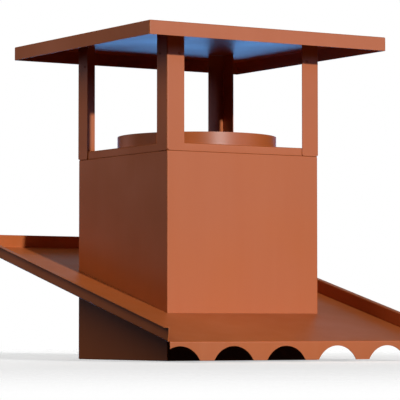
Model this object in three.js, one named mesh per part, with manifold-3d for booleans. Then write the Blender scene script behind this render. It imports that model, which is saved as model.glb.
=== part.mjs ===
// Chimney roof terminal of folded, painted sheet steel, in millimetres with +Z up.
// The origin is on the casing's axis, on the level plane that its foot stands on.
// +X runs along the eaves and +Y runs up the roof.

import * as THREE from "three";
import { mergeVertices } from "three/addons/utils/BufferGeometryUtils.js";
import Module from "manifold-3d";

const wasm = await Module();
wasm.setup();

// Sheet and fit
const SHEET = 1.5;
const POST_SHEET = 2;
const BEND_RADIUS = 3;
const GAP = 0.3;
const OVERRUN = 20;

// Casing
const CASING_SIDE = 450;
const CASING_HEIGHT = 521;
const FOOT_RETURN = 30;
const TOP_RETURN = 15;

// Roof slope and flashing
const ROOF_PITCH = THREE.MathUtils.degToRad(14.1);
const FOLD_HEIGHT = 50;
const FLASHING_REACH = 272;
const TRAY_WIDTH = 768;
const UPSTAND_HEIGHT = 33;
const LIP_WIDTH = 14.5;
const CASING_CLEARANCE = 0.5;

// Front apron with its waved lower edge
const APRON_DEPTH = 45;
const WAVE_PITCH = 150;
const WAVE_COUNT = 6;
const FIRST_WAVE = -354;
const WAVE_HALF_CHORD = 55;
const STRIP_OVER_WAVE = 11;

// Crown base and flue collar
const BAND_HEIGHT = 20;
const BAND_SETBACK = 0.4;
const COLLAR_RADIUS = 206;
const COLLAR_RISE = 34;
const COLLAR_DROP = 25;

// Corner posts
const POST_LEG = 50;

// Rain cap
const CAP_SIDE = 702;
const CAP_RIM = 35;
const RIM_ABOVE_CASING = 268;

// Smoothness of bends and rounds
const BEND_STEPS = 4;
const COLLAR_STEPS = 96;
const WAVE_STEPS = 64;

// Places that follow from the sizes
const CASING_HALF = CASING_SIDE / 2;
const FLASHING_HALF = CASING_HALF + FLASHING_REACH;
const TRAY_HALF = TRAY_WIDTH / 2;
const APRON_BOTTOM = FOLD_HEIGHT - APRON_DEPTH;
const BAND_HALF = CASING_HALF - BAND_SETBACK;
const BAND_BOTTOM = CASING_HEIGHT + GAP;
const DECK_TOP = BAND_BOTTOM + BAND_HEIGHT;
const POST_HALF = BAND_HALF + GAP + POST_SHEET;
const CAP_HALF = CAP_SIDE / 2;
const CAP_BOTTOM = CASING_HEIGHT + RIM_ABOVE_CASING;
const CAP_TOP = CAP_BOTTOM + CAP_RIM;
const POST_TOP = CAP_TOP - SHEET - GAP;

// Axes for profiles drawn flat and pushed out into the part
const X_AXIS = new THREE.Vector3(1, 0, 0);
const Y_AXIS = new THREE.Vector3(0, 1, 0);
const Z_AXIS = new THREE.Vector3(0, 0, 1);
const ALONG_X = new THREE.Matrix4().makeBasis(Y_AXIS, Z_AXIS, X_AXIS);
const ALONG_Y = new THREE.Matrix4().makeBasis(X_AXIS, Z_AXIS, Y_AXIS.clone().negate());
const ALONG_Z = new THREE.Matrix4();

// A closed geometry as a solid that can be joined and cut.
function solidOf(geometry) {
  const bare = geometry.clone();
  bare.deleteAttribute("normal");
  bare.deleteAttribute("uv");
  const merged = mergeVertices(bare, 1e-4);
  const mesh = new wasm.Mesh({
    numProp: 3,
    vertProperties: merged.attributes.position.array,
    triVerts: new Uint32Array(merged.index.array),
  });
  return new wasm.Manifold(mesh);
}

// A solid as a geometry with flat facets.
function geometryOf(solid) {
  const mesh = solid.getMesh();
  const geometry = new THREE.BufferGeometry();
  geometry.setAttribute("position", new THREE.BufferAttribute(mesh.vertProperties, 3));
  geometry.setIndex(new THREE.BufferAttribute(mesh.triVerts, 1));
  const facets = geometry.toNonIndexed();
  facets.computeVertexNormals();
  return facets;
}

// A flat profile pushed out evenly to both sides of its plane.
function prism(shape, direction, depth) {
  const options = { depth, bevelEnabled: false, curveSegments: BEND_STEPS };
  const geometry = new THREE.ExtrudeGeometry(shape, options);
  geometry.translate(0, 0, -depth / 2);
  geometry.applyMatrix4(direction);
  return geometry;
}

// A rectangle with round corners, where the lower two can stay sharp.
function roundedRectangle(left, bottom, right, top, radius, lowerRadius) {
  const shape = new THREE.Shape();
  shape.moveTo(left + lowerRadius, bottom);
  shape.lineTo(right - lowerRadius, bottom);
  if (lowerRadius > 0) {
    shape.absarc(right - lowerRadius, bottom + lowerRadius, lowerRadius, -Math.PI / 2, 0);
  }
  shape.lineTo(right, top - radius);
  shape.absarc(right - radius, top - radius, radius, 0, Math.PI / 2);
  shape.lineTo(left + radius, top);
  shape.absarc(left + radius, top - radius, radius, Math.PI / 2, Math.PI);
  shape.lineTo(left, bottom + lowerRadius);
  if (lowerRadius > 0) {
    shape.absarc(left + lowerRadius, bottom + lowerRadius, lowerRadius, Math.PI, Math.PI * 1.5);
  }
  return shape;
}

// A square block whose top edges, upright corners and, if asked, lower edges are rounded.
function roundedBlock(half, bottom, top, radius, lowerRadius) {
  const side = roundedRectangle(-half, bottom, half, top, radius, lowerRadius);
  const plan = roundedRectangle(-half, -half, half, half, radius, radius);
  const depth = 2 * (half + OVERRUN);
  const upright = prism(plan, ALONG_Z, top - bottom + 2 * OVERRUN);
  upright.translate(0, 0, (top + bottom) / 2);
  const acrossX = solidOf(prism(side, ALONG_X, depth));
  const acrossY = solidOf(prism(side, ALONG_Y, depth));
  return acrossX.intersect(acrossY).intersect(solidOf(upright));
}

// A plain square block, for openings.
function squareBlock(half, bottom, top) {
  const geometry = new THREE.BoxGeometry(2 * half, 2 * half, top - bottom);
  geometry.translate(0, 0, (top + bottom) / 2);
  return solidOf(geometry);
}

// Outline of a sheet bent along a path of its middle line, with a round bend at each corner.
function bentSheet(path, thickness, radius) {
  const near = [];
  const far = [];
  const offset = (point, normal) => {
    near.push(point.clone().addScaledVector(normal, thickness / 2));
    far.push(point.clone().addScaledVector(normal, -thickness / 2));
  };
  const heading = (from, to) => to.clone().sub(from).normalize();
  const leftOf = (direction) => new THREE.Vector2(-direction.y, direction.x);
  const origin = new THREE.Vector2();
  offset(path[0], leftOf(heading(path[0], path[1])));
  for (let i = 1; i < path.length - 1; i += 1) {
    const before = heading(path[i - 1], path[i]);
    const after = heading(path[i], path[i + 1]);
    const turn = Math.atan2(before.cross(after), before.dot(after));
    const side = Math.sign(turn);
    const start = path[i].clone().addScaledVector(before, -radius * Math.tan(Math.abs(turn) / 2));
    const normal = leftOf(before);
    const centre = start.clone().addScaledVector(normal, side * radius);
    for (let step = 0; step <= BEND_STEPS; step += 1) {
      const turned = normal.clone().rotateAround(origin, (turn * step) / BEND_STEPS);
      offset(centre.clone().addScaledVector(turned, -side * radius), turned);
    }
  }
  const last = path.length - 1;
  offset(path[last], leftOf(heading(path[last - 1], path[last])));
  return new THREE.Shape([...near, ...far.reverse()]);
}

// A point of the flashing's side view, as distance up the slope and height off the sheet's top.
function onSlope(along, off) {
  const y = -FLASHING_HALF + along * Math.cos(ROOF_PITCH) - off * Math.sin(ROOF_PITCH);
  const z = FOLD_HEIGHT + along * Math.sin(ROOF_PITCH) + off * Math.cos(ROOF_PITCH);
  return new THREE.Vector2(y, z);
}

// Distance up the slope at which a line at the given height off the sheet meets an upright plane.
function alongAt(y, off) {
  return (y + FLASHING_HALF + off * Math.sin(ROOF_PITCH)) / Math.cos(ROOF_PITCH);
}

// The casing: a square tube whose edges are turned in at the foot and at the top.
function makeCasing() {
  const outer = roundedBlock(CASING_HALF, 0, CASING_HEIGHT, BEND_RADIUS, BEND_RADIUS);
  const innerHalf = CASING_HALF - SHEET;
  const innerRadius = BEND_RADIUS - SHEET;
  const inner = roundedBlock(innerHalf, SHEET, CASING_HEIGHT - SHEET, innerRadius, innerRadius);
  const foot = squareBlock(CASING_HALF - FOOT_RETURN, -OVERRUN, OVERRUN);
  const mouth = squareBlock(CASING_HALF - TOP_RETURN, CASING_HEIGHT - OVERRUN, CASING_HEIGHT + OVERRUN);
  return outer.subtract(inner).subtract(foot).subtract(mouth);
}

// The sloped sheet with its front apron and the upturned edge at the uphill end.
function makeTraySheet() {
  const middle = -SHEET / 2;
  const middleRadius = BEND_RADIUS - SHEET / 2;
  const apronY = -FLASHING_HALF + SHEET / 2;
  const bendReach = middleRadius * (Math.cos(ROOF_PITCH) + Math.sin(ROOF_PITCH));
  const uphill = alongAt(FLASHING_HALF - BEND_RADIUS + bendReach, middle);
  const path = [
    new THREE.Vector2(apronY, APRON_BOTTOM),
    onSlope(alongAt(apronY, middle), middle),
    onSlope(uphill, middle),
    onSlope(uphill, UPSTAND_HEIGHT),
  ];
  const sheet = prism(bentSheet(path, SHEET, middleRadius), ALONG_X, TRAY_WIDTH + SHEET);
  return { sheet: solidOf(sheet), uphill };
}

// A strip of the flashing's side view between two heights off the sheet, at the given place in X.
function slopeStrip(centreX, width, low, high, frontY, uphill) {
  const outline = [
    onSlope(alongAt(frontY, low), low),
    onSlope(uphill, low),
    onSlope(uphill, high),
    onSlope(alongAt(frontY, high), high),
  ];
  const strip = prism(new THREE.Shape(outline), ALONG_X, width);
  strip.translate(centreX, 0, 0);
  return solidOf(strip);
}

// The flashing: tray sheet, upturned sides with a lip, the casing's opening and the apron's waves.
function makeFlashing() {
  const { sheet, uphill } = makeTraySheet();
  let flashing = sheet;
  const wallFront = -FLASHING_HALF + GAP;
  const lipFront = wallFront + GAP;
  for (const side of [-1, 1]) {
    const wallX = side * (TRAY_HALF + SHEET / 2);
    const lipX = side * (TRAY_HALF + SHEET / 2 + LIP_WIDTH / 2);
    const wall = slopeStrip(wallX, SHEET, -SHEET - GAP, UPSTAND_HEIGHT - SHEET / 2, wallFront, uphill);
    const lip = slopeStrip(lipX, LIP_WIDTH, UPSTAND_HEIGHT - SHEET, UPSTAND_HEIGHT, lipFront, uphill - GAP);
    flashing = flashing.add(wall).add(lip);
  }
  const opening = squareBlock(CASING_HALF + CASING_CLEARANCE, 0, CASING_HEIGHT);
  flashing = flashing.subtract(opening);
  const crown = FOLD_HEIGHT - STRIP_OVER_WAVE;
  const rise = crown - APRON_BOTTOM;
  const waveRadius = (rise ** 2 + WAVE_HALF_CHORD ** 2) / (2 * rise);
  for (let i = 0; i < WAVE_COUNT; i += 1) {
    const wave = new THREE.CylinderGeometry(waveRadius, waveRadius, OVERRUN, WAVE_STEPS);
    wave.translate(FIRST_WAVE + i * WAVE_PITCH, -FLASHING_HALF, crown - waveRadius);
    flashing = flashing.subtract(solidOf(wave));
  }
  return flashing;
}

// The crown base: a low tray turned over, whose deck has the flue's opening.
function makeCrownBase() {
  const outer = roundedBlock(BAND_HALF, BAND_BOTTOM, DECK_TOP, BEND_RADIUS, 0);
  const innerRadius = BEND_RADIUS - SHEET;
  const inner = roundedBlock(BAND_HALF - SHEET, BAND_BOTTOM - OVERRUN, DECK_TOP - SHEET, innerRadius, 0);
  const holeRadius = COLLAR_RADIUS + GAP;
  const hole = new THREE.CylinderGeometry(holeRadius, holeRadius, 2 * OVERRUN, COLLAR_STEPS);
  hole.rotateX(Math.PI / 2);
  hole.translate(0, 0, DECK_TOP);
  return outer.subtract(inner).subtract(solidOf(hole));
}

// The flue collar: a short round pipe through the deck.
function makeFlueCollar() {
  const height = COLLAR_RISE + COLLAR_DROP;
  const middle = DECK_TOP + COLLAR_RISE - height / 2;
  const innerRadius = COLLAR_RADIUS - SHEET;
  const pipe = new THREE.CylinderGeometry(COLLAR_RADIUS, COLLAR_RADIUS, height, COLLAR_STEPS);
  const bore = new THREE.CylinderGeometry(innerRadius, innerRadius, height + OVERRUN, COLLAR_STEPS);
  pipe.rotateX(Math.PI / 2);
  bore.rotateX(Math.PI / 2);
  pipe.translate(0, 0, middle);
  bore.translate(0, 0, middle);
  return solidOf(pipe).subtract(solidOf(bore));
}

// The front left post: an angle, open towards the flue.
function makePost() {
  const middle = -POST_HALF + POST_SHEET / 2;
  const tip = -POST_HALF + POST_LEG;
  const path = [
    new THREE.Vector2(tip, middle),
    new THREE.Vector2(middle, middle),
    new THREE.Vector2(middle, tip),
  ];
  const angle = bentSheet(path, POST_SHEET, BEND_RADIUS - POST_SHEET / 2);
  const post = prism(angle, ALONG_Z, POST_TOP - BAND_BOTTOM);
  post.translate(0, 0, (POST_TOP + BAND_BOTTOM) / 2);
  return solidOf(post);
}

// The rain cap: a flat square plate with its rim turned down.
function makeCap() {
  const outer = roundedBlock(CAP_HALF, CAP_BOTTOM, CAP_TOP, BEND_RADIUS, 0);
  const innerRadius = BEND_RADIUS - SHEET;
  const inner = roundedBlock(CAP_HALF - SHEET, CAP_BOTTOM - OVERRUN, CAP_TOP - SHEET, innerRadius, 0);
  return outer.subtract(inner);
}

const paint = { color: 0xb9694b, roughness: 0.42, metalness: 0 };
const terminal = new THREE.Group();

function addPiece(name, solid) {
  const mesh = new THREE.Mesh(geometryOf(solid), new THREE.MeshStandardMaterial(paint));
  mesh.name = name;
  terminal.add(mesh);
  return mesh;
}

addPiece("casing", makeCasing());
addPiece("flashing", makeFlashing());
addPiece("crown_base", makeCrownBase());
addPiece("flue_collar", makeFlueCollar());
["front_left", "front_right", "back_right", "back_left"].forEach((corner, quarter) => {
  const post = addPiece(`post_${corner}`, makePost());
  post.rotation.z = (quarter * Math.PI) / 2;
});
addPiece("cap", makeCap());

export default terminal;
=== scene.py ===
"""Looks of a chimney roof terminal: folded sheet steel in terracotta paint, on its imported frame."""

import logging
import math
from abc import ABC, abstractmethod
from collections.abc import Callable, Iterator
from contextlib import contextmanager
from dataclasses import dataclass, field
from enum import Enum

import bmesh
import bpy
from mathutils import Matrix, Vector


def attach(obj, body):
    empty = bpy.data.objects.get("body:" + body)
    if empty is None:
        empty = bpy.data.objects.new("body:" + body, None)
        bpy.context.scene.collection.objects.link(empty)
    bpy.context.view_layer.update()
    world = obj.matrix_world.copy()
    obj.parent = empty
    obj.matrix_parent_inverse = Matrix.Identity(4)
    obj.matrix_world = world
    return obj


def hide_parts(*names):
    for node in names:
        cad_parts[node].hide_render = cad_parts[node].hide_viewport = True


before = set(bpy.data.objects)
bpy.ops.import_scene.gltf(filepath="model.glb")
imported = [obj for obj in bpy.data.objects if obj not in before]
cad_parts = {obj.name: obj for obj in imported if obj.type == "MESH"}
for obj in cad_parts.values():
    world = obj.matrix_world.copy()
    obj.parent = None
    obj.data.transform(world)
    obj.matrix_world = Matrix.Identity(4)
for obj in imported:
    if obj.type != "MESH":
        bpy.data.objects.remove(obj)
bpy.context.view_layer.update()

LOG = logging.getLogger("chimney_terminal")

Triple = tuple[float, float, float]
Colour = tuple[float, float, float]
FaceRule = Callable[[Vector, Vector], bool]
EdgeRule = Callable[[Vector, Vector], bool]

BODY = "root"

# Lengths within a hair, in metres, are the same, and a normal this near to an axis is along it.
HAIR = 2e-5
SQUARE_ON = 0.999

# Sizes that two parts share, in metres.
CROWN_SEAT = 0.5213
POST_HALF = 0.2269
EASED_EDGE = 0.0004


class Corner(Enum):
    """The four corner posts, in quarter turns from the front left one."""

    FRONT_LEFT = 0
    FRONT_RIGHT = 1
    BACK_RIGHT = 2
    BACK_LEFT = 3

    @property
    def node(self) -> str:
        """Name of the post's CAD node."""
        return f"post_{self.name.lower()}"

    @property
    def turn(self) -> float:
        """Turn about the upright axis, in radians."""
        return self.value * math.pi / 2


class Weathering(Enum):
    """How much sun, rain and dust a painted sheet has had, from 0 to 1."""

    SHELTERED = 0.15
    UPRIGHT = 0.4
    ROOF = 0.8


def near(value: float, target: float) -> bool:
    """Tells if two lengths are the same, within a hair."""
    return abs(value - target) < HAIR


class Bench:
    """The hand tools that every sheet part is folded with."""

    EASE_STEPS: int = 2
    EASE_ANGLE: float = math.radians(60.0)
    CREASE_ANGLE: float = math.radians(32.0)
    FLAT_WEIGHT: int = 80

    @staticmethod
    def clear() -> None:
        """Leaves edit mode and lets go of every object."""
        if bpy.context.object is not None and bpy.context.object.mode != "OBJECT":
            bpy.ops.object.mode_set(mode="OBJECT")
        bpy.ops.object.select_all(action="DESELECT")

    @staticmethod
    def take(piece: bpy.types.Object) -> None:
        """Selects one object alone and makes it the active one.

        Args:
            piece: The object to select.
        """
        Bench.clear()
        piece.select_set(True)
        bpy.context.view_layer.objects.active = piece

    @staticmethod
    def settle(name: str) -> bpy.types.Object:
        """Names the active object and puts its turn, size and place into its mesh.

        Args:
            name: Name for the object and its mesh.

        Returns:
            The object, now at the origin, unturned and unscaled.
        """
        piece = bpy.context.object
        piece.name = name
        piece.data.name = name
        bpy.ops.object.transform_apply(location=True, rotation=True, scale=True)
        return piece

    @staticmethod
    def block(name: str, low: Vector, high: Vector) -> bpy.types.Object:
        """Adds a box between two corners.

        Args:
            name: Name for the object.
            low: Lowest corner.
            high: Highest corner.

        Returns:
            The box.
        """
        Bench.clear()
        bpy.ops.mesh.primitive_cube_add(size=1.0, location=(low + high) / 2, scale=high - low)
        return Bench.settle(name)

    @staticmethod
    @contextmanager
    def editing(piece: bpy.types.Object) -> Iterator[None]:
        """Holds one object in edit mode.

        Args:
            piece: The object to edit.

        Yields:
            Nothing, while the object is in edit mode.
        """
        Bench.take(piece)
        bpy.ops.object.mode_set(mode="EDIT")
        yield
        bpy.ops.object.mode_set(mode="OBJECT")

    @staticmethod
    def pick_faces(piece: bpy.types.Object, rule: FaceRule) -> None:
        """Selects the faces whose centre and normal follow a rule.

        Args:
            piece: The object in edit mode.
            rule: Takes a face's centre and normal.
        """
        bpy.ops.mesh.select_mode(type="FACE")
        bpy.ops.mesh.select_all(action="DESELECT")
        mesh = bmesh.from_edit_mesh(piece.data)
        for face in mesh.faces:
            if rule(face.calc_center_median(), face.normal):
                face.select_set(True)
        bmesh.update_edit_mesh(piece.data)

    @staticmethod
    def pick_edges(piece: bpy.types.Object, rule: EdgeRule) -> None:
        """Selects the edges whose two ends follow a rule.

        Args:
            piece: The object in edit mode.
            rule: Takes an edge's two ends.
        """
        bpy.ops.mesh.select_mode(type="EDGE")
        bpy.ops.mesh.select_all(action="DESELECT")
        mesh = bmesh.from_edit_mesh(piece.data)
        for edge in mesh.edges:
            if rule(edge.verts[0].co, edge.verts[1].co):
                edge.select_set(True)
        bmesh.update_edit_mesh(piece.data)

    @staticmethod
    def round_over(radius: float, steps: int) -> None:
        """Rounds the selected edges as a press brake does."""
        bpy.ops.mesh.bevel(offset_type="OFFSET", offset=radius, segments=steps, affect="EDGES")

    @staticmethod
    def apply(piece: bpy.types.Object, kind: str, **settings: object) -> None:
        """Adds one modifier with its settings and applies it.

        Args:
            piece: The object to change.
            kind: Blender's name of the modifier.
            settings: Values for the modifier's own fields.
        """
        Bench.take(piece)
        modifier = piece.modifiers.new(kind.title(), kind)
        for name, value in settings.items():
            setattr(modifier, name, value)
        bpy.ops.object.modifier_apply(modifier=modifier.name)

    @staticmethod
    def thicken(piece: bpy.types.Object, thickness: float) -> None:
        """Gives a shell its sheet thickness, on the side away from its normals."""
        Bench.apply(piece, "SOLIDIFY", thickness=thickness, offset=-1.0, use_even_offset=True)

    @staticmethod
    def ease(piece: bpy.types.Object, width: float) -> None:
        """Takes the sharpness off the cut edges, as a coat of paint does.

        Args:
            piece: The closed sheet.
            width: How far the rounding reaches from each edge.
        """
        Bench.apply(
            piece,
            "BEVEL",
            width=width,
            segments=Bench.EASE_STEPS,
            limit_method="ANGLE",
            angle_limit=Bench.EASE_ANGLE,
            use_clamp_overlap=False,
        )

    @staticmethod
    def cut(piece: bpy.types.Object, cutter: bpy.types.Object) -> None:
        """Cuts one closed shape out of another and throws the cutter away."""
        Bench.apply(piece, "BOOLEAN", operation="DIFFERENCE", solver="EXACT", object=cutter)
        bpy.data.objects.remove(cutter, do_unlink=True)

    @staticmethod
    def smooth(piece: bpy.types.Object) -> None:
        """Shades the bends smooth and keeps the flats flat.

        Args:
            piece: The object to shade.
        """
        Bench.take(piece)
        bpy.ops.object.shade_smooth_by_angle(angle=Bench.CREASE_ANGLE)
        Bench.apply(
            piece,
            "WEIGHTED_NORMAL",
            mode="FACE_AREA",
            weight=Bench.FLAT_WEIGHT,
            keep_sharp=True,
        )


class ShaderTree:
    """Node tree of one material, with the few steps that the finishes share."""

    # The range that most of a noise lies in.
    NOISE_LOW: float = 0.3
    NOISE_HIGH: float = 0.7

    # Sockets of the Mix node that are used when it blends colours.
    MIX_AMOUNT: int = 0
    MIX_FIRST: int = 6
    MIX_SECOND: int = 7
    MIX_RESULT: int = 2

    def __init__(self, name: str) -> None:
        """Starts a material that holds one Principled shader.

        Args:
            name: Name of the material.
        """
        self.material = bpy.data.materials.new(name)
        self.material.use_nodes = True
        self.nodes = self.material.node_tree.nodes
        self.links = self.material.node_tree.links
        self.shader = self.nodes["Principled BSDF"]
        self.place = self.nodes.new("ShaderNodeTexCoord").outputs["Object"]

    def noise(
        self,
        scale: float,
        detail: float,
        stretch: Triple = (1.0, 1.0, 1.0),
    ) -> bpy.types.NodeSocket:
        """Adds a noise over the piece's own place.

        Args:
            scale: Lumps in a metre.
            detail: Octaves of finer lumps.
            stretch: Scale along each axis, below 1 to draw the lumps out.

        Returns:
            The noise's value.
        """
        mapping = self.nodes.new("ShaderNodeMapping")
        mapping.inputs["Scale"].default_value = stretch
        self.links.new(self.place, mapping.inputs["Vector"])
        noise = self.nodes.new("ShaderNodeTexNoise")
        noise.inputs["Scale"].default_value = scale
        noise.inputs["Detail"].default_value = detail
        self.links.new(mapping.outputs["Vector"], noise.inputs["Vector"])
        return noise.outputs[0]

    def spread(self, value: bpy.types.NodeSocket, low: float, high: float) -> bpy.types.NodeSocket:
        """Spreads a noise's middle range over two values.

        Args:
            value: The noise.
            low: Result where the noise is low.
            high: Result where the noise is high.

        Returns:
            The spread value.
        """
        spread = self.nodes.new("ShaderNodeMapRange")
        spread.inputs["From Min"].default_value = self.NOISE_LOW
        spread.inputs["From Max"].default_value = self.NOISE_HIGH
        spread.inputs["To Min"].default_value = low
        spread.inputs["To Max"].default_value = high
        self.links.new(value, spread.inputs["Value"])
        return spread.outputs["Result"]

    def above(
        self,
        height: float,
        below: bpy.types.NodeSocket,
        value: float,
    ) -> bpy.types.NodeSocket:
        """Swaps a pattern for one value on the surfaces above a height.

        Args:
            height: The height, in metres.
            below: The pattern that stays below it.
            value: The value above it.

        Returns:
            The pattern with its upper part swapped.
        """
        parts = self.nodes.new("ShaderNodeSeparateXYZ")
        self.links.new(self.place, parts.inputs[0])
        swap = self.nodes.new("ShaderNodeMapRange")
        swap.inputs["From Min"].default_value = height - HAIR
        swap.inputs["From Max"].default_value = height + HAIR
        swap.inputs["To Max"].default_value = value
        self.links.new(parts.outputs["Z"], swap.inputs["Value"])
        self.links.new(below, swap.inputs["To Min"])
        return swap.outputs["Result"]

    def blend(
        self,
        amount: bpy.types.NodeSocket,
        first: Colour | bpy.types.NodeSocket,
        second: Colour,
    ) -> bpy.types.NodeSocket:
        """Blends a colour into another by a pattern.

        Args:
            amount: How much of the second colour shows.
            first: The first colour, or the socket that gives it.
            second: The second colour.

        Returns:
            The blended colour.
        """
        mix = self.nodes.new("ShaderNodeMix")
        mix.data_type = "RGBA"
        self.links.new(amount, mix.inputs[self.MIX_AMOUNT])
        if isinstance(first, bpy.types.NodeSocket):
            self.links.new(first, mix.inputs[self.MIX_FIRST])
        else:
            mix.inputs[self.MIX_FIRST].default_value = (*first, 1.0)
        mix.inputs[self.MIX_SECOND].default_value = (*second, 1.0)
        return mix.outputs[self.MIX_RESULT]

    def emboss(
        self,
        height: bpy.types.NodeSocket,
        depth: float,
        under: bpy.types.NodeSocket | None = None,
    ) -> bpy.types.NodeSocket:
        """Turns a pattern into fine relief.

        Args:
            height: The pattern.
            depth: Height of the relief, in metres.
            under: Normal of a broader relief below it.

        Returns:
            The normal.
        """
        bump = self.nodes.new("ShaderNodeBump")
        bump.inputs["Strength"].default_value = 1.0
        bump.inputs["Distance"].default_value = depth
        self.links.new(height, bump.inputs["Height"])
        if under is not None:
            self.links.new(under, bump.inputs["Normal"])
        return bump.outputs["Normal"]


@dataclass(frozen=True)
class TerracottaPaint:
    """Satin terracotta paint on sheet steel, with a fine grain and a little weather."""

    name: str
    weathering: Weathering
    tone: Colour = (0.500, 0.124, 0.024)
    deep_tone: Colour = (0.455, 0.103, 0.017)
    chalky_tone: Colour = (0.545, 0.170, 0.062)
    satin: float = 0.44
    satin_spread: float = 0.05
    shine: float = 0.5
    dull: float = 0.80
    dull_above: float = 0.8232
    cloud_scale: float = 5.0
    cloud_share: float = 0.5
    streak_scale: float = 26.0
    streak_stretch: Triple = (1.0, 1.0, 0.07)
    streak_share: float = 0.35
    grain_scale: float = 700.0
    grain_share: float = 0.16
    peel_scale: float = 330.0
    peel_depth: float = 0.00006
    dent_scale: float = 6.0
    dent_depth: float = 0.0012

    def material(self) -> bpy.types.Material:
        """Builds the paint.

        Returns:
            The material.
        """
        tree = ShaderTree(self.name)
        streak_share = self.streak_share * self.weathering.value
        clouds = tree.noise(self.cloud_scale, detail=3.0)
        streaks = tree.noise(self.streak_scale, detail=2.0, stretch=self.streak_stretch)
        grain = tree.noise(self.grain_scale, detail=1.0)
        peel = tree.noise(self.peel_scale, detail=1.0)
        dents = tree.noise(self.dent_scale, detail=0.0)
        tone = tree.blend(tree.spread(clouds, 0.0, self.cloud_share), self.tone, self.deep_tone)
        tone = tree.blend(tree.spread(streaks, 0.0, streak_share), tone, self.chalky_tone)
        tone = tree.blend(tree.spread(grain, 0.0, self.grain_share), tone, self.deep_tone)
        tree.links.new(tone, tree.shader.inputs["Base Color"])
        gloss = tree.spread(clouds, self.satin - self.satin_spread, self.satin + self.satin_spread)
        gloss = tree.above(self.dull_above, gloss, self.dull)
        tree.links.new(gloss, tree.shader.inputs["Roughness"])
        flats = tree.emboss(dents, self.dent_depth)
        tree.links.new(tree.emboss(peel, self.peel_depth, flats), tree.shader.inputs["Normal"])
        tree.shader.inputs["Specular IOR Level"].default_value = self.shine
        return tree.material


@dataclass
class SheetPart(ABC):
    """A part folded from painted sheet steel."""

    finish: TerracottaPaint
    sheet: float = 0.0015
    fold: float = 0.003
    fold_steps: int = 4
    eased_edge: float = 0.0

    @abstractmethod
    def build(self) -> list[bpy.types.Object]:
        """Models the part.

        Returns:
            The finished meshes.
        """

    def fold_lid(self, name: str, half: float, bottom: float, rim: float) -> bpy.types.Object:
        """Folds a square lid from a box without its underside.

        Args:
            name: Name for the lid.
            half: Half of its width.
            bottom: Height of its rim's lower edge.
            rim: Height of its rim.

        Returns:
            The lid.
        """
        top = bottom + rim
        lid = Bench.block(name, Vector((-half, -half, bottom)), Vector((half, half, top)))
        with Bench.editing(lid):
            Bench.pick_faces(lid, lambda centre, normal: normal.z < -SQUARE_ON)
            bpy.ops.mesh.delete(type="FACE")
            Bench.pick_edges(lid, lambda a, b: max(a.z, b.z) > top - HAIR)
            Bench.round_over(self.fold, self.fold_steps)
        Bench.thicken(lid, self.sheet)
        return lid

    def dress(self, piece: bpy.types.Object, *nodes: str) -> None:
        """Shades, paints and fastens one finished mesh.

        Args:
            piece: The finished mesh.
            nodes: CAD nodes that it stands for.
        """
        if self.eased_edge > 0:
            Bench.ease(piece, self.eased_edge)
        Bench.smooth(piece)
        paint = bpy.data.materials.get(self.finish.name) or self.finish.material()
        piece.data.materials.clear()
        piece.data.materials.append(paint)
        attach(piece, BODY)
        if nodes:
            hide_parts(*nodes)
        triangles = sum(len(face.vertices) - 2 for face in piece.data.polygons)
        LOG.info("%s: %d triangles", piece.name, triangles)


@dataclass
class Casing(SheetPart):
    """The square shaft, with its edges turned in at the foot and at the top."""

    side: float = 0.450
    height: float = 0.521
    foot_return: float = 0.030
    top_return: float = 0.015
    fold: float = 0.0022

    def build(self) -> list[bpy.types.Object]:
        """Folds the shaft from one box.

        Returns:
            The shaft.
        """
        half = self.side / 2
        high = Vector((half, half, self.height))
        shaft = Bench.block("painted_casing", Vector((-half, -half, 0)), high)
        with Bench.editing(shaft):
            bpy.ops.mesh.select_all(action="SELECT")
            Bench.round_over(self.fold, self.fold_steps)
            self._turn_in(shaft, 1, self.top_return)
            self._turn_in(shaft, -1, self.foot_return)
        Bench.thicken(shaft, self.sheet)
        self.dress(shaft, "casing")
        return [shaft]

    def _turn_in(self, shaft: bpy.types.Object, side: int, width: float) -> None:
        """Opens one end and leaves a turned-in edge.

        Args:
            shaft: The shaft in edit mode.
            side: 1 for the top, -1 for the foot.
            width: Width of the edge, from the shaft's outside.
        """
        Bench.pick_faces(shaft, lambda centre, normal: normal.z * side > SQUARE_ON)
        bpy.ops.mesh.inset(thickness=width - self.fold)
        bpy.ops.mesh.delete(type="FACE")


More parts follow.
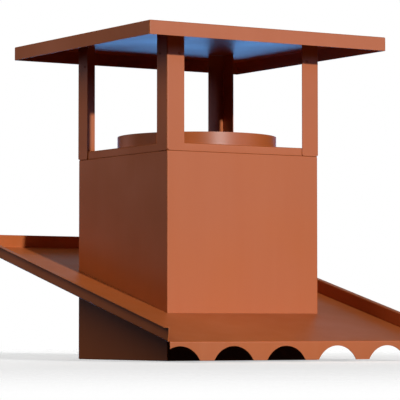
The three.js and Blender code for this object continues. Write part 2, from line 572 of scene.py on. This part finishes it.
@dataclass
class Flashing(SheetPart):
    """The sloped tray round the shaft, with upturned sides and a front apron cut in waves."""

    pitch: float = math.radians(14.1)
    fold_height: float = 0.050
    half_length: float = 0.497
    half_width: float = 0.384
    upstand: float = 0.033
    lip: float = 0.01525
    notch: float = 0.0025
    front_notch: float = 0.0045
    opening_half: float = 0.2255
    apron: float = 0.045
    first_wave: float = -0.354
    wave_pitch: float = 0.150
    wave_count: int = 6
    wave_half_chord: float = 0.055
    wave_sides: int = 128
    strip_over_wave: float = 0.011
    cutter_depth: float = 0.020

    @property
    def front_fold(self) -> Vector:
        """Middle of the fold between the tray and its apron."""
        return Vector((0.0, -self.half_length, self.fold_height))

    @property
    def up_slope(self) -> Vector:
        """Direction up the tray."""
        return Vector((0.0, math.cos(self.pitch), math.sin(self.pitch)))

    @property
    def off_sheet(self) -> Vector:
        """Direction straight off the tray's top."""
        return Vector((0.0, -math.sin(self.pitch), math.cos(self.pitch)))

    @property
    def length(self) -> float:
        """Works out the length of the tray, so that its back edge ends at the half length.

        Returns:
            The length from the front fold to the inside of the upturned back edge.
        """
        bend = (self.fold - self.sheet / 2) * (math.cos(self.pitch) + math.sin(self.pitch))
        run = 2 * self.half_length - self.fold + bend - self.sheet / 2 * math.sin(self.pitch)
        return run / math.cos(self.pitch) - self.sheet / 2

    def along(self, point: Vector) -> float:
        """Distance of a point up the slope from the front fold."""
        return (point - self.front_fold).dot(self.up_slope)

    def off(self, point: Vector) -> float:
        """Height of a point off the tray's top."""
        return (point - self.front_fold).dot(self.off_sheet)

    def build(self) -> list[bpy.types.Object]:
        """Folds the tray from one sheet.

        Returns:
            The tray.
        """
        tray = self._lay_sheet()
        with Bench.editing(tray):
            self._notch_corners(tray)
            self._open_for_shaft(tray)
            self._turn_up_sides(tray)
            self._turn_down_apron(tray)
            self._round_folds(tray)
            self._face_up(tray)
        Bench.thicken(tray, self.sheet)
        Bench.cut(tray, self._wave_cutter())
        self.dress(tray, "flashing")
        return [tray]

    def _lay_sheet(self) -> bpy.types.Object:
        """Lays the flat sheet on the slope.

        Returns:
            The sheet.
        """
        Bench.clear()
        bpy.ops.mesh.primitive_plane_add(
            size=1.0,
            location=self.front_fold + self.up_slope * self.length / 2,
            rotation=(self.pitch, 0.0, 0.0),
        )
        bpy.context.object.scale = (2 * self.half_width, self.length, 1.0)
        return Bench.settle("painted_flashing")

    def _notch_corners(self, tray: bpy.types.Object) -> None:
        """Snips a little out of each corner, so that its two edges fold freely.

        Args:
            tray: The flat sheet in edit mode.
        """
        front, back = self.front_notch, self.length - self.notch
        inner = self.half_width - self.notch

        def at_end(centre: Vector) -> bool:
            """Tells if a face is in the strip at the front or back edge."""
            return not front < self.along(centre) < back

        for row in (front, back):
            bpy.ops.mesh.select_all(action="SELECT")
            bpy.ops.mesh.bisect(
                plane_co=self.front_fold + self.up_slope * row,
                plane_no=self.up_slope,
                threshold=HAIR,
            )
        for side in (-1, 1):
            Bench.pick_faces(tray, lambda centre, normal: at_end(centre))
            bpy.ops.mesh.bisect(
                plane_co=(side * inner, 0.0, 0.0),
                plane_no=(1.0, 0.0, 0.0),
                threshold=HAIR,
            )
        Bench.pick_faces(tray, lambda centre, normal: at_end(centre) and abs(centre.x) > inner)
        bpy.ops.mesh.delete(type="FACE")

    def _open_for_shaft(self, tray: bpy.types.Object) -> None:
        """Cuts the square opening along upright planes.

        Args:
            tray: The flat sheet in edit mode.
        """
        half = self.opening_half
        for axis in (Vector((1.0, 0.0, 0.0)), Vector((0.0, 1.0, 0.0))):
            for side in (-1, 1):
                bpy.ops.mesh.select_all(action="SELECT")
                bpy.ops.mesh.bisect(plane_co=axis * half * side, plane_no=axis, threshold=HAIR)
        Bench.pick_faces(tray, lambda centre, normal: abs(centre.x) < half and abs(centre.y) < half)
        bpy.ops.mesh.delete(type="FACE")

    def _turn_up_sides(self, tray: bpy.types.Object) -> None:
        """Turns up the sides and the back edge, and turns the sides' lips out.

        Args:
            tray: The flat sheet in edit mode.
        """
        width, length = self.half_width, self.length

        def is_side(point: Vector) -> bool:
            """Tells if a point is on a side fold."""
            return near(abs(point.x), width)

        def is_back(point: Vector) -> bool:
            """Tells if a point is on the back fold."""
            return near(self.along(point), length)

        Bench.pick_edges(
            tray,
            lambda a, b: (is_side(a) and is_side(b)) or (is_back(a) and is_back(b)),
        )
        bpy.ops.mesh.extrude_edges_move(
            TRANSFORM_OT_translate={"value": self.off_sheet * self.upstand}
        )
        for side in (-1, 1):
            Bench.pick_edges(
                tray,
                lambda a, b: all(
                    near(point.x, side * width) and near(self.off(point), self.upstand)
                    for point in (a, b)
                ),
            )
            bpy.ops.mesh.extrude_edges_move(
                TRANSFORM_OT_translate={"value": (side * self.lip, 0.0, 0.0)}
            )
        bpy.ops.mesh.select_all(action="SELECT")
        bpy.ops.mesh.bisect(
            plane_co=self.front_fold,
            plane_no=(0.0, -1.0, 0.0),
            clear_outer=True,
            threshold=HAIR,
        )

    def _turn_down_apron(self, tray: bpy.types.Object) -> None:
        """Turns the front edge straight down."""
        Bench.pick_edges(tray, lambda a, b: self._is_front(a) and self._is_front(b))
        bpy.ops.mesh.extrude_edges_move(TRANSFORM_OT_translate={"value": (0.0, 0.0, -self.apron)})

    def _is_front(self, point: Vector) -> bool:
        """Tells if a point is on the front fold."""
        return near(point.y, -self.half_length) and near(point.z, self.fold_height)

    def _round_folds(self, tray: bpy.types.Object) -> None:
        """Rounds the hollow folds first, then the outer ones.

        Args:
            tray: The folded sheet in edit mode.
        """
        width, length = self.half_width, self.length

        def in_hollow(point: Vector) -> tuple[bool, bool, bool]:
            """Tells which of the tray's planes hold a point."""
            return (
                near(self.off(point), 0.0),
                near(abs(point.x), width),
                near(self.along(point), length),
            )

        def is_hollow(a: Vector, b: Vector) -> bool:
            """Tells if an edge runs along two of the planes."""
            shared = [first and second for first, second in zip(in_hollow(a), in_hollow(b))]
            return sum(shared) >= 2

        def is_lip(point: Vector) -> bool:
            """Tells if a point is on the fold of a lip."""
            return near(abs(point.x), width) and near(self.off(point), self.upstand)

        Bench.pick_edges(tray, is_hollow)
        Bench.round_over(self.fold - self.sheet, self.fold_steps)
        Bench.pick_edges(
            tray,
            lambda a, b: (self._is_front(a) and self._is_front(b)) or (is_lip(a) and is_lip(b)),
        )
        Bench.round_over(self.fold, self.fold_steps)

    def _face_up(self, tray: bpy.types.Object) -> None:
        """Turns every face to the weather side.

        Args:
            tray: The folded sheet in edit mode.
        """
        bpy.ops.mesh.select_all(action="SELECT")
        bpy.ops.mesh.normals_make_consistent(inside=False)
        mesh = bmesh.from_edit_mesh(tray.data)
        widest = max(mesh.faces, key=lambda face: face.calc_area())
        if widest.normal.dot(self.off_sheet) < 0:
            bpy.ops.mesh.flip_normals()

    def _wave_cutter(self) -> bpy.types.Object:
        """Makes the row of rounds that cut the apron's waves.

        Returns:
            The cutter.
        """
        crown = self.fold_height - self.strip_over_wave
        rise = crown - (self.fold_height - self.apron)
        radius = (rise**2 + self.wave_half_chord**2) / (2 * rise)
        step = {"value": (self.wave_pitch, 0.0, 0.0)}
        Bench.clear()
        bpy.ops.mesh.primitive_cylinder_add(
            vertices=self.wave_sides,
            radius=radius,
            depth=self.cutter_depth,
            location=(self.first_wave, -self.half_length, crown - radius),
            rotation=(math.pi / 2, 0.0, 0.0),
        )
        cutter = Bench.settle("wave_cutter")
        with Bench.editing(cutter):
            bpy.ops.mesh.select_all(action="SELECT")
            for _ in range(self.wave_count - 1):
                bpy.ops.mesh.duplicate_move(TRANSFORM_OT_translate=step)
        return cutter


@dataclass
class CrownBase(SheetPart):
    """The low band and deck that close the shaft's top round the flue."""

    eased_edge: float = EASED_EDGE
    half: float = 0.2246
    bottom: float = CROWN_SEAT
    height: float = 0.020
    opening: float = 0.2063
    opening_sides: int = 192
    cutter_depth: float = 0.030

    def build(self) -> list[bpy.types.Object]:
        """Folds the band and cuts the flue's opening.

        Returns:
            The band with its deck.
        """
        band = self.fold_lid("painted_crown_base", self.half, self.bottom, self.height)
        Bench.clear()
        bpy.ops.mesh.primitive_cylinder_add(
            vertices=self.opening_sides,
            radius=self.opening,
            depth=self.cutter_depth,
            location=(0.0, 0.0, self.bottom + self.height),
        )
        Bench.cut(band, Bench.settle("flue_cutter"))
        self.dress(band, "crown_base")
        return [band]


@dataclass
class FlueCollar(SheetPart):
    """The short round pipe that stands up out of the deck."""

    eased_edge: float = EASED_EDGE
    radius: float = 0.206
    bottom: float = 0.5163
    top: float = 0.5753
    sides: int = 192

    def build(self) -> list[bpy.types.Object]:
        """Rolls the pipe.

        Returns:
            The pipe.
        """
        Bench.clear()
        bpy.ops.mesh.primitive_cylinder_add(
            vertices=self.sides,
            radius=self.radius,
            depth=self.top - self.bottom,
            end_fill_type="NOTHING",
            location=(0.0, 0.0, (self.top + self.bottom) / 2),
        )
        pipe = Bench.settle("painted_flue_collar")
        Bench.thicken(pipe, self.sheet)
        self.dress(pipe, "flue_collar")
        return [pipe]


@dataclass
class CornerPosts(SheetPart):
    """The four angle posts that carry the cap."""

    sheet: float = 0.002
    half: float = POST_HALF
    leg: float = 0.050
    bottom: float = CROWN_SEAT
    top: float = 0.8222
    toe_radius: float = 0.005
    toe_steps: int = 5
    heel_radius: float = 0.010
    heel_cuts: int = 5
    heel_slack: float = 1e-7
    edge_radius: float = 0.0007
    edge_steps: int = 3

    @property
    def tip(self) -> float:
        """Place of a leg's free side along its own axis, on the front left post."""
        return -self.half + self.leg

    def build(self) -> list[bpy.types.Object]:
        """Folds one angle and copies it to each corner.

        Returns:
            The four posts.
        """
        first = self._fold_angle()
        posts = []
        for corner in Corner:
            Bench.take(first)
            bpy.ops.object.duplicate(linked=False)
            bpy.context.object.rotation_euler.z = corner.turn
            post = Bench.settle(f"painted_{corner.node}")
            self.dress(post, corner.node)
            posts.append(post)
        bpy.data.objects.remove(first, do_unlink=True)
        return posts

    def _fold_angle(self) -> bpy.types.Object:
        """Folds the front left angle from two sides of a box.

        Returns:
            The angle.
        """
        low = Vector((-self.half, -self.half, self.bottom))
        angle = Bench.block("post_angle", low, Vector((self.tip, self.tip, self.top)))
        with Bench.editing(angle):
            Bench.pick_faces(
                angle,
                lambda centre, normal: max(normal.x, normal.y, abs(normal.z)) > SQUARE_ON,
            )
            bpy.ops.mesh.delete(type="FACE")
            Bench.pick_edges(
                angle,
                lambda a, b: all(
                    near(point.x, -self.half) and near(point.y, -self.half) for point in (a, b)
                ),
            )
            Bench.round_over(self.fold, self.fold_steps)
            self._round_heel()
            self._round_toes(angle)
        Bench.thicken(angle, self.sheet)
        with Bench.editing(angle):
            Bench.pick_edges(angle, self._is_free_edge)
            Bench.round_over(self.edge_radius, self.edge_steps)
            bpy.ops.mesh.select_all(action="SELECT")
            bpy.ops.mesh.remove_doubles(threshold=HAIR)
        return angle

    def _is_free_edge(self, a: Vector, b: Vector) -> bool:
        """Tells if an edge runs up the free side of a leg."""
        at_tip = all(near(max(point.x, point.y), self.tip) for point in (a, b))
        return at_tip and abs(a.z - b.z) > self.leg

    def _round_heel(self) -> None:
        """Rounds the lower end of the fold with a fan of flat cuts."""
        heel = Vector((-self.half, -self.half, self.bottom))
        for cut in range(self.heel_cuts):
            lean = (cut + 0.5) / self.heel_cuts * math.pi / 2
            away = Vector((math.cos(lean), math.cos(lean), math.sin(lean)))
            reach = self.heel_radius * (math.cos(lean) + math.sin(lean) - 1.0)
            bpy.ops.mesh.select_all(action="SELECT")
            bpy.ops.mesh.bisect(
                plane_co=heel + away * (reach / away.length_squared),
                plane_no=away,
                clear_inner=True,
                threshold=self.heel_slack,
            )

    def _round_toes(self, angle: bpy.types.Object) -> None:
        """Rounds the free lower corner of each leg.

        Args:
            angle: The angle in edit mode.
        """
        bpy.ops.mesh.select_mode(type="VERT")
        bpy.ops.mesh.select_all(action="DESELECT")
        mesh = bmesh.from_edit_mesh(angle.data)
        for vert in mesh.verts:
            at_tip = near(vert.co.x, self.tip) or near(vert.co.y, self.tip)
            if at_tip and near(vert.co.z, self.bottom):
                vert.select_set(True)
        bmesh.update_edit_mesh(angle.data)
        bpy.ops.mesh.bevel(offset=self.toe_radius, segments=self.toe_steps, affect="VERTICES")


@dataclass
class PostRivets(SheetPart):
    """Painted blind rivets, one near the top of each post leg."""

    radius: float = 0.0036
    rise: float = 0.0016
    trim: float = 0.00005
    sides: int = 24
    rings: int = 12
    height: float = 0.764
    from_corner: float = 0.036
    post_half: float = POST_HALF

    def build(self) -> list[bpy.types.Object]:
        """Models one head, sets a copy on each leg and joins them.

        Returns:
            The rivets.
        """
        head = self._head()
        copies = []
        reach = self.post_half - self.from_corner
        for corner in Corner:
            for side in (-1, 1):
                Bench.take(head)
                bpy.ops.object.duplicate(linked=False)
                copy = bpy.context.object
                copy.rotation_euler = (math.pi / 2, 0.0, corner.turn)
                place = Vector((side * reach, -self.post_half, self.height))
                copy.location = (
                    place.x * math.cos(corner.turn) - place.y * math.sin(corner.turn),
                    place.x * math.sin(corner.turn) + place.y * math.cos(corner.turn),
                    place.z,
                )
                copies.append(Bench.settle("post_rivet"))
        bpy.data.objects.remove(head, do_unlink=True)
        Bench.clear()
        for copy in copies:
            copy.select_set(True)
        bpy.context.view_layer.objects.active = copies[0]
        bpy.ops.object.join()
        rivets = Bench.settle("post_rivets")
        self.dress(rivets)
        return [rivets]

    def _head(self) -> bpy.types.Object:
        """Presses one domed head that faces up from the origin.

        Returns:
            The head.
        """
        Bench.clear()
        bpy.ops.mesh.primitive_uv_sphere_add(
            segments=self.sides,
            ring_count=self.rings,
            radius=self.radius,
        )
        bpy.context.object.scale.z = self.rise / self.radius
        head = Bench.settle("rivet_head")
        with Bench.editing(head):
            bpy.ops.mesh.select_all(action="SELECT")
            bpy.ops.mesh.bisect(
                plane_co=(0.0, 0.0, self.trim),
                plane_no=(0.0, 0.0, 1.0),
                clear_inner=True,
                use_fill=True,
            )
        return head


@dataclass
class RainCap(SheetPart):
    """The flat square cap with its rim turned down."""

    eased_edge: float = EASED_EDGE
    half: float = 0.351
    bottom: float = 0.789
    rim: float = 0.035

    def build(self) -> list[bpy.types.Object]:
        """Folds the cap as one square lid.

        Returns:
            The cap.
        """
        cap = self.fold_lid("painted_cap", self.half, self.bottom, self.rim)
        self.dress(cap, "cap")
        return [cap]


@dataclass(frozen=True)
class SoftLight:
    """One lamp of the studio, which may light only the gloss or only the matt part of a finish."""

    name: str
    place: Vector
    aim: Vector
    power: float
    width: float
    height: float
    colour: Colour = (1.0, 1.0, 1.0)
    in_gloss: bool = True
    on_matt: bool = True

    def hang(self) -> None:
        """Hangs the lamp and points it."""
        Bench.clear()
        bpy.ops.object.light_add(type="AREA", location=self.place)
        lamp = bpy.context.object
        lamp.name = self.name
        lamp.rotation_euler = (self.place - self.aim).to_track_quat("Z", "Y").to_euler()
        lamp.data.shape = "RECTANGLE"
        lamp.data.size = self.width
        lamp.data.size_y = self.height
        lamp.data.energy = self.power
        lamp.data.color = self.colour
        lamp.visible_camera = False
        lamp.visible_glossy = self.in_gloss
        lamp.visible_diffuse = self.on_matt


@dataclass
class Studio:
    """Pale floor, soft lights, white surroundings and the camera."""

    key_direction: Vector = field(default_factory=lambda: Vector((0.030, -1.0, 0.251)))
    key_distance: float = 4.0
    key_power: float = 2.63
    key_angle: float = math.radians(1.2)
    middle: Vector = field(default_factory=lambda: Vector((0.0, 0.0, 0.45)))
    under_cap: Vector = field(default_factory=lambda: Vector((0.0, 0.0, 0.8)))
    ambient: Colour = (0.005, 0.005, 0.006)
    floor_radius: float = 6.0
    floor_sides: int = 128
    floor_tone: Colour = (0.78, 0.78, 0.77)
    floor_glow: float = 0.52
    fade_start: float = 0.9
    fade_end: float = 3.4
    camera_place: Vector = field(default_factory=lambda: Vector((-3.3692, -5.4339, 0.0853)))
    camera_turn: Triple = (math.radians(92.935), 0.0, math.radians(-31.875))
    sensor_width: float = 36.0
    lens: float = 222.0
    sight: float = 200.0

    def set_up(self) -> None:
        """Sets up everything round the object."""
        bpy.context.scene.view_settings.view_transform = "Standard"
        self._lay_floor()
        self._hang_key_light()
        for lamp in (*self._fill_lights(), *self._gloss_panels()):
            lamp.hang()
        self._surround()
        self._set_camera()

    def _lay_floor(self) -> None:
        """Lays the floor, which fades out into the white surroundings."""
        Bench.clear()
        bpy.ops.mesh.primitive_circle_add(
            vertices=self.floor_sides,
            radius=self.floor_radius,
            fill_type="NGON",
        )
        floor = Bench.settle("studio_floor")
        floor.visible_diffuse = False
        floor.visible_glossy = False
        floor.data.materials.append(self._floor_finish())

    def _floor_finish(self) -> bpy.types.Material:
        """Builds the floor's pale matt finish.

        Returns:
            The material.
        """
        tree = ShaderTree("pale_floor")
        length = tree.nodes.new("ShaderNodeVectorMath")
        length.operation = "LENGTH"
        tree.links.new(tree.place, length.inputs[0])
        fade = tree.nodes.new("ShaderNodeMapRange")
        fade.interpolation_type = "SMOOTHSTEP"
        fade.inputs["From Min"].default_value = self.fade_start
        fade.inputs["From Max"].default_value = self.fade_end
        tree.links.new(length.outputs["Value"], fade.inputs["Value"])
        matt = tree.nodes.new("ShaderNodeBsdfDiffuse")
        matt.inputs["Color"].default_value = (*self.floor_tone, 1.0)
        glow = tree.nodes.new("ShaderNodeEmission")
        glow.inputs["Strength"].default_value = self.floor_glow
        both = tree.nodes.new("ShaderNodeAddShader")
        tree.links.new(matt.outputs[0], both.inputs[0])
        tree.links.new(glow.outputs[0], both.inputs[1])
        clear = tree.nodes.new("ShaderNodeBsdfTransparent")
        mix = tree.nodes.new("ShaderNodeMixShader")
        tree.links.new(fade.outputs["Result"], mix.inputs[0])
        tree.links.new(both.outputs[0], mix.inputs[1])
        tree.links.new(clear.outputs[0], mix.inputs[2])
        tree.links.new(mix.outputs[0], tree.nodes["Material Output"].inputs["Surface"])
        tree.nodes.remove(tree.shader)
        return tree.material

    def _hang_key_light(self) -> None:
        """Hangs the key light, low in front."""
        Bench.clear()
        bpy.ops.object.light_add(type="SUN", location=self.key_direction * self.key_distance)
        key = bpy.context.object
        key.name = "key_light"
        key.rotation_euler = self.key_direction.to_track_quat("Z", "Y").to_euler()
        key.data.energy = self.key_power
        key.data.angle = self.key_angle

    def _fill_lights(self) -> list[SoftLight]:
        """Lists the lamps that lift the shaded sides and the back.

        Returns:
            The lamps.
        """
        return [
            SoftLight(
                "fill_light",
                place=Vector((-2.2, 0.4, 1.9)),
                aim=self.middle,
                power=16.8,
                width=1.4,
                height=1.4,
            ),
            SoftLight(
                "back_fill",
                place=Vector((2.2, 3.2, 3.4)),
                aim=self.middle,
                power=20.0,
                width=2.4,
                height=2.4,
                in_gloss=False,
            ),
            SoftLight(
                "low_back_fill",
                place=Vector((3.2, 3.6, 1.3)),
                aim=self.middle,
                power=70.0,
                width=3.0,
                height=1.6,
                in_gloss=False,
            ),
            SoftLight(
                "warm_bounce",
                place=Vector((0.0, -0.85, 0.20)),
                aim=self.under_cap,
                power=0.42,
                width=0.4,
                height=0.08,
                colour=(1.0, 0.62, 0.38),
                in_gloss=False,
            ),
        ]

    def _gloss_panels(self) -> list[SoftLight]:
        """Lists the tinted panels that only the paint's gloss picks up.

        Returns:
            The panels.
        """
        return [
            SoftLight(
                "low_panel",
                place=Vector((1.9, 3.1, 0.0)),
                aim=self.under_cap,
                power=86.0,
                width=5.0,
                height=1.6,
                colour=(0.15, 0.45, 1.0),
                on_matt=False,
            ),
            SoftLight(
                "back_panel",
                place=Vector((2.6, 3.7, 2.4)),
                aim=self.middle,
                power=7.5,
                width=3.0,
                height=1.6,
                colour=(0.36, 0.80, 1.0),
                on_matt=False,
            ),
            SoftLight(
                "right_panel",
                place=Vector((2.4, -3.9, 2.3)),
                aim=self.middle,
                power=84.0,
                width=4.0,
                height=2.8,
                colour=(1.0, 0.72, 0.86),
                on_matt=False,
            ),
            SoftLight(
                "left_panel",
                place=Vector((-2.6, 4.2, 1.0)),
                aim=self.middle,
                power=11.0,
                width=3.0,
                height=1.0,
                colour=(1.0, 0.55, 0.52),
                on_matt=False,
            ),
        ]

    def _surround(self) -> None:
        """Makes the surroundings white to look at and dim as a light."""
        world = bpy.data.worlds.new("white_surroundings")
        bpy.context.scene.world = world
        world.use_nodes = True
        nodes, links = world.node_tree.nodes, world.node_tree.links
        seen = nodes["Background"]
        seen.inputs["Color"].default_value = (1.0, 1.0, 1.0, 1.0)
        dim = nodes.new("ShaderNodeBackground")
        dim.inputs["Color"].default_value = (*self.ambient, 1.0)
        path = nodes.new("ShaderNodeLightPath")
        mix = nodes.new("ShaderNodeMixShader")
        links.new(path.outputs["Is Camera Ray"], mix.inputs[0])
        links.new(dim.outputs[0], mix.inputs[1])
        links.new(seen.outputs[0], mix.inputs[2])
        links.new(mix.outputs[0], nodes["World Output"].inputs["Surface"])

    def _set_camera(self) -> None:
        """Sets the camera at the photograph's angle."""
        Bench.clear()
        bpy.ops.object.camera_add(location=self.camera_place, rotation=self.camera_turn)
        camera = bpy.context.object
        camera.data.sensor_width = self.sensor_width
        camera.data.lens = self.lens
        camera.data.clip_end = self.sight
        bpy.context.scene.camera = camera


def main() -> None:
    """Builds the parts in order, dresses them and sets up the studio."""
    logging.basicConfig(level=logging.INFO, format="%(name)s: %(message)s")
    upright = TerracottaPaint("upright_paint", Weathering.UPRIGHT)
    sheltered = TerracottaPaint("sheltered_paint", Weathering.SHELTERED)
    # Painted shade on the flue collar: a darker copy of the terracotta paint stands in for the shade
    # it sits in under the cap. This copy is also a little glossier.
    collar_shade_paint = TerracottaPaint(
        "collar_painted_shade",
        Weathering.SHELTERED,
        tone=(0.440, 0.112, 0.027),
        deep_tone=(0.400, 0.092, 0.019),
        satin=0.39,
    )
    roof = TerracottaPaint("roof_paint", Weathering.ROOF)
    parts: list[SheetPart] = [
        Casing(upright),
        Flashing(roof),
        CrownBase(upright),
        # The collar takes the darker copy of the paint, which is painted shade.
        FlueCollar(collar_shade_paint),
        CornerPosts(sheltered),
        PostRivets(sheltered),
        RainCap(upright),
    ]
    for part in parts:
        pieces = part.build()
        LOG.info("%s done, %d pieces", type(part).__name__, len(pieces))
    Studio().set_up()


if __name__ == "__main__":
    main()
